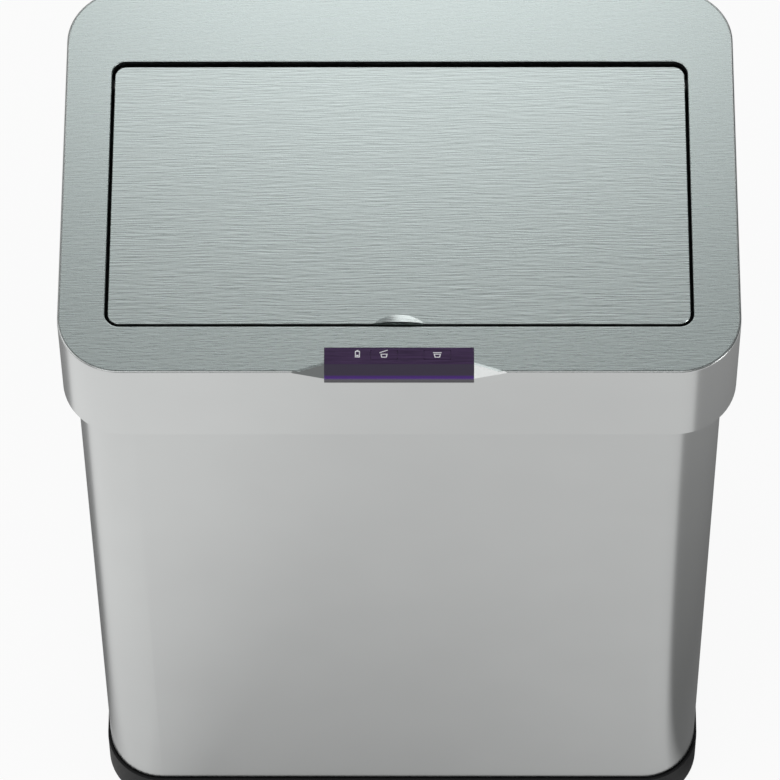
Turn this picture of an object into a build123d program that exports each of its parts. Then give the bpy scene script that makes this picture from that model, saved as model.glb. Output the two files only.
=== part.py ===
from build123d import *
import os
from math import acos, cos, hypot, pi, radians, sin, tan

# Sensor bin: floor centre at the origin, front towards -Y, millimetres

# Whole can
can_height = 580.0
head_width = 413.0
head_depth = 279.5
head_corner = 39.0
skirt_height = 73.5

# Clearances
seat_gap = 0.3
fit_gap = 0.15
running_gap = 0.05
loose_gap = 0.6

# Head shell
skirt_wall = 2.5
deck_wall = 2.5
rim_land = 1.2
rim_round = 1.0
skirt_edge = 0.6
trim_sheet = 1.0
trim_turndown = 3.5

# Lid opening: bands of the rim plate
front_band = 32.5
side_band = 28.6
rear_band = 54.6
lid_corner = 7.0

# Lid and its hinge
lid_side_gap = 2.1
lid_front_gap = 1.9
lid_sheet = 0.8
lid_fold = 5.0
lid_thickness = 12.8
lid_wall = 2.0
hinge_drop = 9.0
hinge_inset = 9.0
swing_clearance = 0.57
shaft_radius = 3.0
hinge_boss_radius = 5.6
hinge_boss_length = 34.0
lid_rib_wall = 1.6
lid_rib_pitch = 58.0

# Finger pull on the lid's front edge
pull_width = 31.0
pull_depth = 6.4
pull_rise = 2.4
pull_wall = 0.7

# Odour filter under the lid
filter_width = 92.0
filter_depth = 62.0
filter_height = 5.5
filter_wall = 1.8
grille_sheet = 1.8
grille_lip = 5.0
louvre_count = 7
louvre_width = 4.0

# Lower head moulding
floor_wall = 2.5
rim_height = 10.0
well_wall = 2.0
well_corner = 7.0
well_gap = 0.2
ledge_clearance = 1.4
ledge_wall = 2.5
throat_side_inset = 10.9
throat_front_inset = 11.0
throat_rear_inset = 23.9
throat_corner = 12.0
spout_drop = 10.6
bumper_radius = 4.5
bumper_stem_radius = 2.0
bumper_inset = 5.2
bumper_spread = 120.0

# Sleeve, base and bag ring
sleeve_inset = 8.0
sleeve_corner = 36.0
sleeve_wall = 0.6
sleeve_rise = 20.0
hem_depth = 8.0
base_overhang = 2.0
base_rim_height = 34.3
base_wall = 3.0
base_floor = 2.6
base_round = 5.0
groove_depth = 22.0
plug_rise = 14.0
plug_wall = 2.4
foot_height = 2.0
foot_seat = 1.4
foot_radius = 11.0
foot_inset_x = 42.0
foot_inset_y = 36.0
underside_drop = 3.0
rib_wall = 2.0
rib_pitch = 62.0
long_ribs = 3
cross_ribs = 5
ring_wall = 1.6
ring_cap_depth = 9.0
ring_hang = 34.0
ring_gap = 0.5

# Sensor window in the front edge
window_width = 90.0
window_rear = 17.4
window_drop = 11.3
bevel_run = 7.2
bevel_drop = 7.2
window_proud = 0.3
window_bend = 2.5
wing_length = 21.3
console_margin = 5.0

# Keys, sensors and board behind the window
key_width = 16.0
key_depth = 6.2
key_travel = 0.6
key_flange = 1.5
key_flange_thickness = 1.2
key_stem_radius = 2.0
open_key_x = -9.0
close_key_x = 23.0
light_x = -27.3
light_radius = 1.5
sensor_x = 38.0
sensor_radius = 2.5
sensor_length = 8.6
sensor_flange = 0.4
sensor_collar = 1.0
lead_side = 0.5
lead_spread = 1.27
board_drop = 14.2
board_thickness = 1.6
board_width = 116.0
board_front = 5.5
board_depth = 20.0
board_post_x = 52.0
board_post_side = 5.0
stake_radius = 1.1
stake_proud = 1.0
switch_side = 6.0
switch_height = 3.5
switch_button = 1.5
switch_button_radius = 1.75

# Gear train in the left band
gear_pressure_angle = 20.0
gear_backlash = 0.12
straight_flank_teeth = 20
wheel_addendum = 0.62
pinion_addendum = 0.95
root_clearance = 0.3
sector_teeth = 36
pinion_teeth = 10
wheel_teeth = 30
low_module = 1.0
middle_module = 0.8
fast_module = 0.6
lid_travel = 85.0
sector_margin = 14.0
sector_hub_radius = 4.9
gear_face = 4.4
gear_space = 0.5
gearbox_wall = 1.8
gearbox_plate_thickness = 2.3
gearbox_margin = 2.0
axle_radius = 1.5
axle_seat = 1.2
motor_radius = 10.0
motor_flat = 7.7
motor_length = 25.0
motor_boss_radius = 3.1
motor_boss_length = 1.5
motor_shaft_radius = 1.0
bushing_radius = 4.3
bushing_flange_radius = 4.9
bushing_end_play = 0.55

# Battery compartment and its door
cell_radius = 17.1
cell_length = 61.5
cell_nub_radius = 4.75
cell_nub = 1.5
cell_count = 4
cell_gap = 0.3
cell_play = 0.1
contact_room = 5.0
contact_sheet = 0.4
contact_width = 8.0
contact_back = 19.0
contact_flat = 6.0
contact_slope = 7.0
box_wall = 1.6
door_wall = 2.5
door_barrel_radius = 2.0
door_pin_radius = 1.2
door_pin_length = 3.0
door_gap = 0.4
door_corner = 3.0
door_lift = 3.0
door_height = 36.0
door_notch_radius = 9.0
door_notch_depth = 1.2
pin_boss_wall = 1.9

# Power inlet and switch on the rear
inlet_inset = 48.5
inlet_gap = 5.9
jack_width = 9.0
jack_height = 11.0
jack_length = 14.0
jack_radius = 4.0
jack_bore_radius = 2.75
jack_bore_depth = 9.0
jack_pin_radius = 1.05
jack_pin_length = 8.0
switch_width = 15.0
switch_tall = 21.0
switch_flange = 1.3
switch_body_depth = 12.0
switch_wall = 1.5
rocker_tilt = 8.0
rocker_pivot_radius = 1.0
rocker_pivot_depth = 3.4
rocker_gap = 0.35

# Screws and posts that hold the head together
post_radius = 4.0
pilot_radius = 1.5
screw_radius = 1.4
screw_head_radius = 2.6
screw_head_height = 2.0
counterbore_radius = 2.8
pillar_height = 12.0
screw_reach = 10.0
front_post_inset = 25.0
rear_post_inset = 45.0
battery_post_gap = 6.0

# Heights
skirt_bottom = can_height - skirt_height
deck_top = can_height - trim_sheet
deck_under = deck_top - deck_wall
sleeve_top = skirt_bottom + sleeve_rise
ring_seat = sleeve_top + seat_gap
ring_top = ring_seat + ring_wall
head_seat = ring_top + seat_gap
bay_floor = head_seat + floor_wall
hinge_z = can_height - hinge_drop
lid_under = can_height - lid_thickness
lid_swing = hypot(hinge_inset, lid_thickness - hinge_drop)
ledge_top = hinge_z - lid_swing - ledge_clearance

# Plan of the head
front = -head_depth / 2
rear = head_depth / 2
side = head_width / 2
inner_width = head_width - 2 * skirt_wall
inner_depth = head_depth - 2 * skirt_wall
inner_corner = head_corner - skirt_wall
opening_front = front + front_band
opening_rear = rear - rear_band
opening_half = side - side_band
opening_mid = (opening_front + opening_rear) / 2
opening_depth = opening_rear - opening_front
opening_corner = lid_corner + lid_side_gap
lid_rear_gap = hypot(hinge_drop, hinge_inset) - hinge_inset + swing_clearance
lid_front = opening_front + lid_front_gap
lid_rear = opening_rear - lid_rear_gap
lid_half = opening_half - lid_side_gap
lid_mid = (lid_front + lid_rear) / 2
lid_depth = lid_rear - lid_front
hinge_y = lid_rear - hinge_inset
pull_plan = (pull_width**2 / 4 + pull_depth**2) / (2 * pull_depth)
pull_ahead = pull_plan - pull_depth
pull_sink = (pull_plan**2 - pull_ahead**2 - pull_rise**2) / (2 * pull_rise)
pull_ball = hypot(pull_plan, pull_sink)
well_growth = trim_sheet + well_gap
well_half = opening_half + well_growth
well_depth = opening_depth + 2 * well_growth
well_outer = well_half + well_wall

# Plan of the sleeve, the base and the ring
sleeve_width = head_width - 2 * sleeve_inset
sleeve_depth = head_depth - 2 * sleeve_inset
base_width = sleeve_width + 2 * base_overhang
base_depth = sleeve_depth + 2 * base_overhang
base_corner = sleeve_corner + base_overhang
groove_floor = base_rim_height - groove_depth
sleeve_bottom = groove_floor + seat_gap
hem = 2 * sleeve_wall
plug_inset = sleeve_wall + seat_gap
foot_x = sleeve_width / 2 - foot_inset_x
foot_y = sleeve_depth / 2 - foot_inset_y
floor_under = foot_height + underside_drop
ring_outset = ring_gap + ring_wall
ring_inset = hem + ring_gap

# Faces that the window and its neighbours share
window_half = window_width / 2
wall_behind = trim_sheet + deck_wall
key_y = front + (bevel_run + window_rear) / 2
board_top = can_height - board_drop
board_under = board_top - board_thickness
switch_top = board_top + switch_height + switch_button


def rounded_block(width, depth, corner, bottom, top, mode=Mode.ADD, middle_y=0.0):
    """Upright block with rounded corners between two heights."""
    with BuildSketch(Plane.XY.offset(bottom)) as outline:
        with Locations((0, middle_y)):
            RectangleRounded(width, depth, corner)
    extrude(outline.sketch, amount=top - bottom, mode=mode)


def block(x_span, y_span, z_span, mode=Mode.ADD):
    """Plain box between two places on each axis."""
    spans = (x_span, y_span, z_span)
    middle = tuple((low + high) / 2 for low, high in spans)
    with Locations(middle):
        Box(*(high - low for low, high in spans), mode=mode)


def rod(x_span, y, z, radius, mode=Mode.ADD):
    """Round bar along X."""
    with BuildSketch(Plane.YZ.offset(x_span[0])) as circle:
        with Locations((y, z)):
            Circle(radius)
    extrude(circle.sketch, amount=x_span[1] - x_span[0], mode=mode)


def post(x, y, bottom, top, radius, mode=Mode.ADD):
    """Upright round bar."""
    with BuildSketch(Plane.XY.offset(bottom)) as circle:
        with Locations((x, y)):
            Circle(radius)
    extrude(circle.sketch, amount=top - bottom, mode=mode)


def edge_section(growth):
    """Section of the bevelled front edge, grown by an amount or shrunk by a negative one."""
    reach = 80.0
    with BuildSketch(Plane.YZ) as section:
        with BuildLine():
            Polyline(
                (front, can_height - bevel_drop),
                (front + bevel_run, can_height),
                (front + reach, can_height),
                (front + reach, can_height - reach),
                (front, can_height - reach),
                close=True,
            )
        make_face()
        offset(amount=growth, kind=Kind.INTERSECTION)
    return section.sketch_local


def front_strip(half_width, outer, inner, rear_edge, lower_edge, mode=Mode.ADD):
    """Bent strip that follows the bevelled edge, between two growths of its section."""
    margin = 3.0
    with BuildSketch(Plane.YZ) as strip:
        with BuildLine():
            Polyline(
                (front - margin, can_height + margin),
                (front + rear_edge, can_height + margin),
                (front + rear_edge, can_height - lower_edge),
                (front - margin, can_height - lower_edge),
                close=True,
            )
        make_face()
        if outer is not None:
            add(edge_section(outer), mode=Mode.INTERSECT)
        add(edge_section(inner), mode=Mode.SUBTRACT)
    extrude(strip.sketch, amount=half_width, both=True, mode=mode)


def cut_wings():
    """Slice the corner beside each end of the window with one slanting facet."""
    overshoot = 0.4
    for end in (-1, 1):
        upper = Vector(end * window_half, front + bevel_run, can_height)
        lower = Vector(end * window_half, front, can_height - bevel_drop)
        tip = Vector(end * (window_half + wing_length), front, can_height)
        middle = (upper + lower) * 0.5
        high = upper + (upper - lower) * overshoot
        low = lower + (lower - upper) * overshoot
        corner = Vector(upper.X, low.Y - bevel_run, high.Z + bevel_drop)
        far_tip = tip + (tip - middle) * overshoot
        with BuildSketch(Plane.YZ.offset(upper.X)) as base:
            with BuildLine():
                Polyline((high.Y, high.Z), (corner.Y, corner.Z), (low.Y, low.Z), close=True)
            make_face()
        loft([base.sketch.face(), Vertex(*far_tip)], mode=Mode.SUBTRACT)


def bevel_plane(x, depth):
    """Plane parallel to the bevelled edge, a depth below its middle, facing outwards."""
    face = Plane(
        origin=(x, front + bevel_run / 2, can_height - bevel_drop / 2),
        x_dir=(1, 0, 0),
        z_dir=(0, -bevel_drop, bevel_run),
    )
    return face.offset(-depth)


def pull_dome(shrink):
    """Shallow cap over the finger slot, cut off at the lid's front, smaller all round by an amount."""
    ball = Solid.make_sphere(pull_ball - shrink, angle1=-90)
    slab = Solid.make_box(2 * pull_width, 2 * pull_depth, lid_sheet + 2 * pull_rise)
    ball = ball.moved(Location((0, -pull_ahead, -pull_sink)))
    return ball & slab.moved(Location((-pull_width, -shrink, -lid_sheet)))


def flank_angle(radius, teeth, module):
    """Half the angle that a tooth takes up at a radius."""
    pitch_radius = module * teeth / 2
    base_radius = pitch_radius * cos(radians(gear_pressure_angle))
    half_tooth = (pi / 2 - gear_backlash) / teeth
    pressure = radians(gear_pressure_angle)
    at_radius = acos(min(1.0, base_radius / radius))
    return half_tooth + (tan(pressure) - pressure) - (tan(at_radius) - at_radius)


def tooth(direction, teeth, module, addendum, dedendum):
    """Outline of one involute tooth about a direction, from root to root."""
    pitch_radius = module * teeth / 2
    base_radius = pitch_radius * cos(radians(gear_pressure_angle))
    root = pitch_radius - dedendum * module
    tip = pitch_radius + addendum * module
    radii = [root, tip]
    if teeth < straight_flank_teeth:
        radii = [root, base_radius, (base_radius + tip) / 2, tip]
    rising = [(radius, -flank_angle(radius, teeth, module)) for radius in radii]
    falling = [(radius, -angle) for radius, angle in reversed(rising)]
    return [
        (radius * cos(direction + angle), radius * sin(direction + angle))
        for radius, angle in rising + falling
    ]


def toothed_disc(x, y, z, thickness, teeth, module, first, addendum, dedendum, count=None):
    """Spur gear, or a toothed sector when only some of the teeth are asked for."""
    pitch = 2 * pi / teeth
    outline = []
    for index in range(count or teeth):
        outline += tooth(first + index * pitch, teeth, module, addendum, dedendum)
    if count:
        outline.append((0.0, 0.0))
    with BuildSketch(Plane.YZ.offset(x)) as profile:
        with Locations((y, z)):
            with BuildLine():
                Polyline(*[(y + across, z + up) for across, up in outline], close=True)
        make_face()
    extrude(profile.sketch, amount=thickness)


# Gear train: heights, centres and layers, all from the hinge
low_centre = low_module * (sector_teeth + pinion_teeth) / 2
middle_centre = middle_module * (wheel_teeth + pinion_teeth) / 2
fast_centre = fast_module * (wheel_teeth + pinion_teeth) / 2
train_z = hinge_z - low_centre
low_y = hinge_y
middle_y = low_y + middle_centre
motor_y = middle_y + fast_centre
wheel_dedendum = pinion_addendum + root_clearance
pinion_dedendum = wheel_addendum + root_clearance
plate_x = -well_outer
plate_outer_x = plate_x - gearbox_plate_thickness
layer_a = plate_outer_x - gear_space
layer_b = layer_a - gear_face - gear_space
layer_c = layer_b - gear_face - gear_space
train_end = layer_c - gear_face
cover_inner_x = train_end - gear_space
cover_outer_x = cover_inner_x - gearbox_wall
case_front = hinge_y - low_module * sector_teeth / 2 - gearbox_margin - gearbox_wall
case_rear = motor_y + fast_module * pinion_teeth / 2 + gearbox_margin + gearbox_wall
case_top = deck_under - seat_gap
axles = ((low_y, train_z), (middle_y, train_z))

# Battery compartment, from the rear skirt inwards
cells_length = cell_count * cell_length
box_length = cells_length + 2 * contact_room
box_half = box_length / 2 + box_wall
inlet_x = side - inlet_inset
battery_x = inlet_x - switch_width / 2 - inlet_gap - box_half
door_axis_y = rear - door_barrel_radius
box_rear = door_axis_y - door_barrel_radius - seat_gap
cell_y = box_rear - 0.8 - cell_radius
trough_radius = cell_radius + cell_gap
box_front = cell_y - trough_radius - box_wall
cell_z = bay_floor + box_wall + trough_radius
box_top = cell_z + trough_radius + box_wall
door_axis_z = bay_floor + door_lift
door_top = door_axis_z + door_height
door_half = box_length / 2 - box_wall
door_reach = door_half + door_gap + door_pin_length + pin_boss_wall

# Rear inlet and switch, one above the other
jack_z = bay_floor + jack_height / 2
switch_bottom = bay_floor + jack_height + 4.0
switch_z = switch_bottom + switch_tall / 2
switch_face_y = rear - skirt_wall - switch_flange
switch_hole_half_width = switch_width / 2 - switch_wall + fit_gap
switch_hole_half_height = switch_tall / 2 - switch_wall + fit_gap
rocker_half = switch_tall / 2 - 2 * switch_wall
rocker_y = switch_face_y - rocker_pivot_depth

# Posts and screws
band_x = (well_outer + side - skirt_wall) / 2
head_posts = (
    (band_x, front + front_post_inset),
    (-band_x, front + front_post_inset),
    (band_x, rear - rear_post_inset),
    (battery_x - box_half - battery_post_gap, (box_front + box_rear) / 2),
)
board_mid_y = front + board_front + board_depth / 2
board_posts = tuple(
    (across * board_post_x, board_mid_y + along * (board_depth - board_post_side - 1.0) / 2)
    for across in (-1, 1)
    for along in (-1, 1)
)

# Steel sleeve, folded inwards at the top
with BuildPart() as body_sleeve:
    rounded_block(sleeve_width, sleeve_depth, sleeve_corner, sleeve_bottom, sleeve_top)
    rounded_block(
        sleeve_width - 2 * sleeve_wall,
        sleeve_depth - 2 * sleeve_wall,
        sleeve_corner - sleeve_wall,
        sleeve_bottom,
        sleeve_top - hem_depth,
        Mode.SUBTRACT,
    )
    rounded_block(
        sleeve_width - 2 * hem,
        sleeve_depth - 2 * hem,
        sleeve_corner - hem,
        sleeve_top - hem_depth,
        sleeve_top,
        Mode.SUBTRACT,
    )
    chamfer(faces().sort_by(Axis.Z)[-1].edges(), length=0.3 * hem)

# Moulded base: outer lip, groove for the sleeve, plug wall, ribs and foot pads
with BuildPart() as base_tray:
    rounded_block(base_width, base_depth, base_corner, foot_height, base_rim_height)
    fillet(faces().sort_by(Axis.Z)[-1].edges(), radius=0.5 * base_overhang)
    fillet(faces().sort_by(Axis.Z)[0].edges(), radius=base_round)
    rounded_block(
        sleeve_width + 2 * seat_gap,
        sleeve_depth + 2 * seat_gap,
        sleeve_corner + seat_gap,
        groove_floor,
        base_rim_height,
        Mode.SUBTRACT,
    )
    rounded_block(
        sleeve_width - 2 * plug_inset,
        sleeve_depth - 2 * plug_inset,
        sleeve_corner - plug_inset,
        groove_floor,
        base_rim_height + plug_rise,
    )
    chamfer(faces().sort_by(Axis.Z)[-1].edges(), length=0.4 * plug_wall)
    rounded_block(
        sleeve_width - 2 * (plug_inset + plug_wall),
        sleeve_depth - 2 * (plug_inset + plug_wall),
        sleeve_corner - plug_inset - plug_wall,
        floor_under + base_floor,
        base_rim_height + plug_rise,
        Mode.SUBTRACT,
    )
    rounded_block(
        base_width - 2 * (base_round + base_wall),
        base_depth - 2 * (base_round + base_wall),
        base_corner - base_round - base_wall,
        foot_height,
        floor_under,
        Mode.SUBTRACT,
    )
    rib_z = (foot_height + floor_under) / 2
    with Locations((0, 0, rib_z)):
        with GridLocations(rib_pitch, 1, cross_ribs, 1):
            Box(rib_wall, base_depth - 2 * base_round - base_wall, underside_drop)
        with GridLocations(1, rib_pitch, 1, long_ribs):
            Box(base_width - 2 * base_round - base_wall, rib_wall, underside_drop)
        with GridLocations(2 * foot_x, 2 * foot_y, 2, 2):
            Cylinder(foot_radius + base_wall, underside_drop)
    with Locations((0, 0, foot_height)):
        with GridLocations(2 * foot_x, 2 * foot_y, 2, 2):
            Cylinder(foot_radius + fit_gap, 2 * foot_seat, mode=Mode.SUBTRACT)

# Four rubber feet in the pads' recesses
with BuildPart() as rubber_feet:
    with BuildSketch():
        with GridLocations(2 * foot_x, 2 * foot_y, 2, 2):
            Circle(foot_radius)
    extrude(amount=foot_height + foot_seat)

# Ring that caps the sleeve and holds the bag's edge
with BuildPart() as bag_ring:
    rounded_block(
        sleeve_width + 2 * ring_outset,
        sleeve_depth + 2 * ring_outset,
        sleeve_corner + ring_outset,
        ring_seat - ring_cap_depth,
        ring_top,
    )
    chamfer(faces().sort_by(Axis.Z)[-1].edges(), length=0.5 * ring_wall)
    rounded_block(
        sleeve_width + 2 * ring_gap,
        sleeve_depth + 2 * ring_gap,
        sleeve_corner + ring_gap,
        ring_seat - ring_cap_depth,
        ring_seat,
        Mode.SUBTRACT,
    )
    rounded_block(
        sleeve_width - 2 * ring_inset,
        sleeve_depth - 2 * ring_inset,
        sleeve_corner - ring_inset,
        ring_top - ring_hang,
        ring_seat,
    )
    rounded_block(
        sleeve_width - 2 * (ring_inset + ring_wall),
        sleeve_depth - 2 * (ring_inset + ring_wall),
        sleeve_corner - ring_inset - ring_wall,
        ring_top - ring_hang,
        ring_top,
        Mode.SUBTRACT,
    )

# Lower head moulding: floor, rim, lid well with its ledge, throat and screw pillars
throat_half = well_half - throat_side_inset
throat_front = opening_front - well_growth + throat_front_inset
throat_rear = opening_rear + well_growth - throat_rear_inset
throat_depth = throat_rear - throat_front
throat_mid = (throat_front + throat_rear) / 2
rim_inset = skirt_wall + seat_gap
bumper_y = lid_front + bumper_inset
with BuildPart() as lower_housing:
    rounded_block(
        head_width - 2 * rim_inset,
        head_depth - 2 * rim_inset,
        head_corner - rim_inset,
        head_seat,
        bay_floor + rim_height,
    )
    rounded_block(
        head_width - 2 * (rim_inset + floor_wall),
        head_depth - 2 * (rim_inset + floor_wall),
        head_corner - rim_inset - floor_wall,
        bay_floor,
        bay_floor + rim_height,
        Mode.SUBTRACT,
    )
    rounded_block(
        2 * well_outer,
        well_depth + 2 * well_wall,
        well_corner + well_wall,
        ledge_top - ledge_wall,
        deck_under,
        middle_y=opening_mid,
    )
    rounded_block(
        2 * well_half,
        well_depth,
        well_corner,
        ledge_top,
        deck_under,
        Mode.SUBTRACT,
        middle_y=opening_mid,
    )
    rounded_block(
        2 * (throat_half + floor_wall),
        throat_depth + 2 * floor_wall,
        throat_corner + floor_wall,
        head_seat - spout_drop,
        ledge_top,
        middle_y=throat_mid,
    )
    rounded_block(
        2 * throat_half,
        throat_depth,
        throat_corner,
        head_seat - spout_drop,
        ledge_top,
        Mode.SUBTRACT,
        middle_y=throat_mid,
    )
    for post_x, post_y in head_posts:
        post(post_x, post_y, head_seat, bay_floor + pillar_height, post_radius)
        post(post_x, post_y, head_seat, bay_floor + pillar_height, pilot_radius + 0.2, Mode.SUBTRACT)
        post(
            post_x,
            post_y,
            head_seat,
            bay_floor + pillar_height - floor_wall,
            counterbore_radius,
            Mode.SUBTRACT,
        )
    block(
        (battery_x - door_reach - loose_gap, inlet_x + switch_width / 2 + loose_gap),
        (box_rear - 2 * floor_wall, rear),
        (bay_floor, bay_floor + rim_height),
        Mode.SUBTRACT,
    )
    for end in (-1, 1):
        wall_span = sorted((end * (well_half - 1), end * (well_outer + 1)))
        rod(wall_span, hinge_y, hinge_z, bushing_radius + running_gap, Mode.SUBTRACT)
        post(
            end * bumper_spread,
            bumper_y,
            ledge_top - ledge_wall,
            ledge_top,
            bumper_stem_radius + running_gap,
            Mode.SUBTRACT,
        )

# Silver head shell: skirt, deck, window console, posts and rear openings
with BuildPart() as upper_housing:
    rounded_block(head_width, head_depth, head_corner, skirt_bottom, can_height)
    fillet(faces().sort_by(Axis.Z)[-1].edges(), radius=rim_round)
    chamfer(faces().sort_by(Axis.Z)[0].edges(), length=skirt_edge)
    rounded_block(inner_width, inner_depth, inner_corner, skirt_bottom, deck_under, Mode.SUBTRACT)
    rounded_block(
        head_width - 2 * rim_land,
        head_depth - 2 * rim_land,
        head_corner - rim_land,
        deck_top,
        can_height,
        Mode.SUBTRACT,
    )
    rounded_block(
        2 * well_half,
        well_depth,
        well_corner,
        deck_under,
        can_height,
        Mode.SUBTRACT,
        middle_y=opening_mid,
    )
    console_half = window_half + wing_length + console_margin
    with BuildSketch(Plane.YZ) as backing:
        with BuildLine():
            Polyline(
                (front + skirt_wall / 2, deck_top - deck_wall / 2),
                (front + window_rear, deck_top - deck_wall / 2),
                (front + window_rear, can_height - window_drop - console_margin),
                (front + skirt_wall / 2, can_height - window_drop - console_margin),
                close=True,
            )
        make_face()
        add(edge_section(-wall_behind), mode=Mode.SUBTRACT)
    extrude(backing.sketch, amount=console_half, both=True)
    front_strip(
        window_half + fit_gap,
        None,
        -trim_sheet,
        window_rear + fit_gap,
        window_drop + fit_gap,
        Mode.SUBTRACT,
    )
    cut_wings()
    for key_x in (open_key_x, close_key_x):
        block(
            (key_x - key_width / 2 - fit_gap, key_x + key_width / 2 + fit_gap),
            (key_y - key_depth / 2 - fit_gap, key_y + key_depth / 2 + fit_gap),
            (can_height - bevel_drop, can_height),
            Mode.SUBTRACT,
        )
    post(light_x, key_y, deck_under - 1, can_height, light_radius + fit_gap, Mode.SUBTRACT)
    for post_x, post_y in board_posts:
        block(
            (post_x - board_post_side / 2, post_x + board_post_side / 2),
            (post_y - board_post_side / 2, post_y + board_post_side / 2),
            (board_top, deck_under),
        )
        post(post_x, post_y, board_under - stake_proud, board_top, stake_radius)
    for post_x, post_y in head_posts:
        post(post_x, post_y, bay_floor + pillar_height, deck_under, post_radius)
        post(
            post_x,
            post_y,
            bay_floor + pillar_height,
            bay_floor + pillar_height + screw_reach + 1,
            pilot_radius,
            Mode.SUBTRACT,
        )
    for sensor_at in (-sensor_x, sensor_x):
        with BuildSketch(bevel_plane(sensor_at, sensor_length)) as sensor_hole:
            Circle(sensor_radius + fit_gap)
        extrude(sensor_hole.sketch, amount=sensor_length, mode=Mode.SUBTRACT)
    for end in (-1, 1):
        block(
            sorted((battery_x + end * (door_half + door_gap), battery_x + end * door_reach)),
            (door_axis_y - door_barrel_radius, rear - skirt_wall / 2),
            (door_axis_z - door_barrel_radius - 1, door_axis_z + door_barrel_radius + 1),
        )
    with BuildSketch(Plane.XZ.offset(-rear)) as door_opening:
        with Locations((battery_x, (door_axis_z - door_barrel_radius + door_top) / 2)):
            RectangleRounded(
                2 * (door_half + door_gap),
                door_top - door_axis_z + door_barrel_radius + 2 * door_gap,
                door_corner,
            )
    extrude(door_opening.sketch, amount=skirt_wall + 2, mode=Mode.SUBTRACT)
    block(
        (battery_x - door_half - door_gap, battery_x + door_half + door_gap),
        (door_axis_y - door_barrel_radius - 1, rear + 1),
        (door_axis_z - door_barrel_radius - door_gap, door_axis_z + door_barrel_radius + door_gap),
        Mode.SUBTRACT,
    )
    pin_reach = door_half + door_gap + door_pin_length
    rod(
        (battery_x - pin_reach, battery_x + pin_reach),
        door_axis_y,
        door_axis_z,
        door_pin_radius + running_gap,
        Mode.SUBTRACT,
    )
    block(
        (inlet_x - switch_hole_half_width, inlet_x + switch_hole_half_width),
        (rear - skirt_wall - 1, rear + 1),
        (switch_z - switch_hole_half_height, switch_z + switch_hole_half_height),
        Mode.SUBTRACT,
    )
    with BuildSketch(Plane.XZ.offset(-rear)) as jack_hole:
        with Locations((inlet_x, jack_z)):
            Circle(jack_radius + fit_gap)
    extrude(jack_hole.sketch, amount=skirt_wall + 1, mode=Mode.SUBTRACT)

# Brushed rim plate with a turned-down edge round the lid
plate_inset = rim_land + seat_gap
with BuildPart() as top_trim:
    rounded_block(
        head_width - 2 * plate_inset,
        head_depth - 2 * plate_inset,
        head_corner - plate_inset,
        deck_top,
        can_height,
    )
    rounded_block(
        2 * (opening_half + trim_sheet),
        opening_depth + 2 * trim_sheet,
        opening_corner + trim_sheet,
        can_height - trim_turndown,
        can_height,
        middle_y=opening_mid,
    )
    rounded_block(
        2 * opening_half,
        opening_depth,
        opening_corner,
        can_height - trim_turndown,
        can_height,
        Mode.SUBTRACT,
        middle_y=opening_mid,
    )
    inner_rim = faces().sort_by(Axis.Z)[-1].inner_wires()[0].edges()
    fillet(inner_rim, radius=0.6 * trim_sheet)
    front_strip(
        window_half + fit_gap,
        None,
        -trim_sheet,
        window_rear + fit_gap,
        window_drop + fit_gap,
        Mode.SUBTRACT,
    )
    cut_wings()

# Tinted sensor window that follows the bevelled edge
with BuildPart() as sensor_window:
    front_strip(window_half, window_proud, -trim_sheet, window_rear, window_drop)
    bend = edges().filter_by(Axis.X).group_by(Axis.Y)[0].sort_by(Axis.Z)[-1]
    fillet(bend, radius=window_bend)
    for key_x in (open_key_x, close_key_x):
        block(
            (key_x - key_width / 2 - fit_gap, key_x + key_width / 2 + fit_gap),
            (key_y - key_depth / 2 - fit_gap, key_y + key_depth / 2 + fit_gap),
            (deck_top, can_height + 1),
            Mode.SUBTRACT,
        )

# Push keys: cap in the window, flange below the deck, stem to the switch
keys = {}
for key_name, key_x in (("open_key", open_key_x), ("close_key", close_key_x)):
    flange_top = deck_under - fit_gap
    key_cap_bottom = flange_top - key_flange_thickness
    with BuildPart() as key:
        block(
            (key_x - key_width / 2, key_x + key_width / 2),
            (key_y - key_depth / 2, key_y + key_depth / 2),
            (key_cap_bottom, can_height + window_proud),
        )
        fillet(edges().filter_by(Axis.Z), radius=0.8)
        block(
            (key_x - key_width / 2 - key_flange, key_x + key_width / 2 + key_flange),
            (key_y - key_depth / 2 + 1, key_y + key_depth / 2 + key_flange),
            (key_cap_bottom, flange_top),
        )
        post(key_x, key_y, switch_top + key_travel + fit_gap, key_cap_bottom, key_stem_radius)
    keys[key_name] = key

# Control board and what stands on it
with BuildPart() as main_board:
    block(
        (-board_width / 2, board_width / 2),
        (front + board_front, front + board_front + board_depth),
        (board_under, board_top),
    )
    for post_x, post_y in board_posts:
        post(post_x, post_y, board_under, board_top, stake_radius + running_gap, Mode.SUBTRACT)

with BuildPart() as key_switches:
    for key_x in (open_key_x, close_key_x):
        half = switch_side / 2
        block(
            (key_x - half, key_x + half),
            (key_y - half, key_y + half),
            (board_top, board_top + switch_height),
        )
        post(key_x, key_y, board_top + switch_height, switch_top, switch_button_radius)

with BuildPart() as battery_light:
    light_base = board_top + 7.0
    post(light_x, key_y, light_base, deck_top, light_radius)
    chamfer(edges().sort_by(Axis.Z)[-1], length=0.5 * light_radius)
    post(light_x, key_y, light_base, light_base + 0.9, light_radius + 0.4)
    for lead in (-1, 1):
        lead_x = light_x + lead * lead_spread / 2
        block(
            (lead_x - lead_side / 2, lead_x + lead_side / 2),
            (key_y - lead_side / 2, key_y + lead_side / 2),
            (board_top, light_base),
        )

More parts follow.
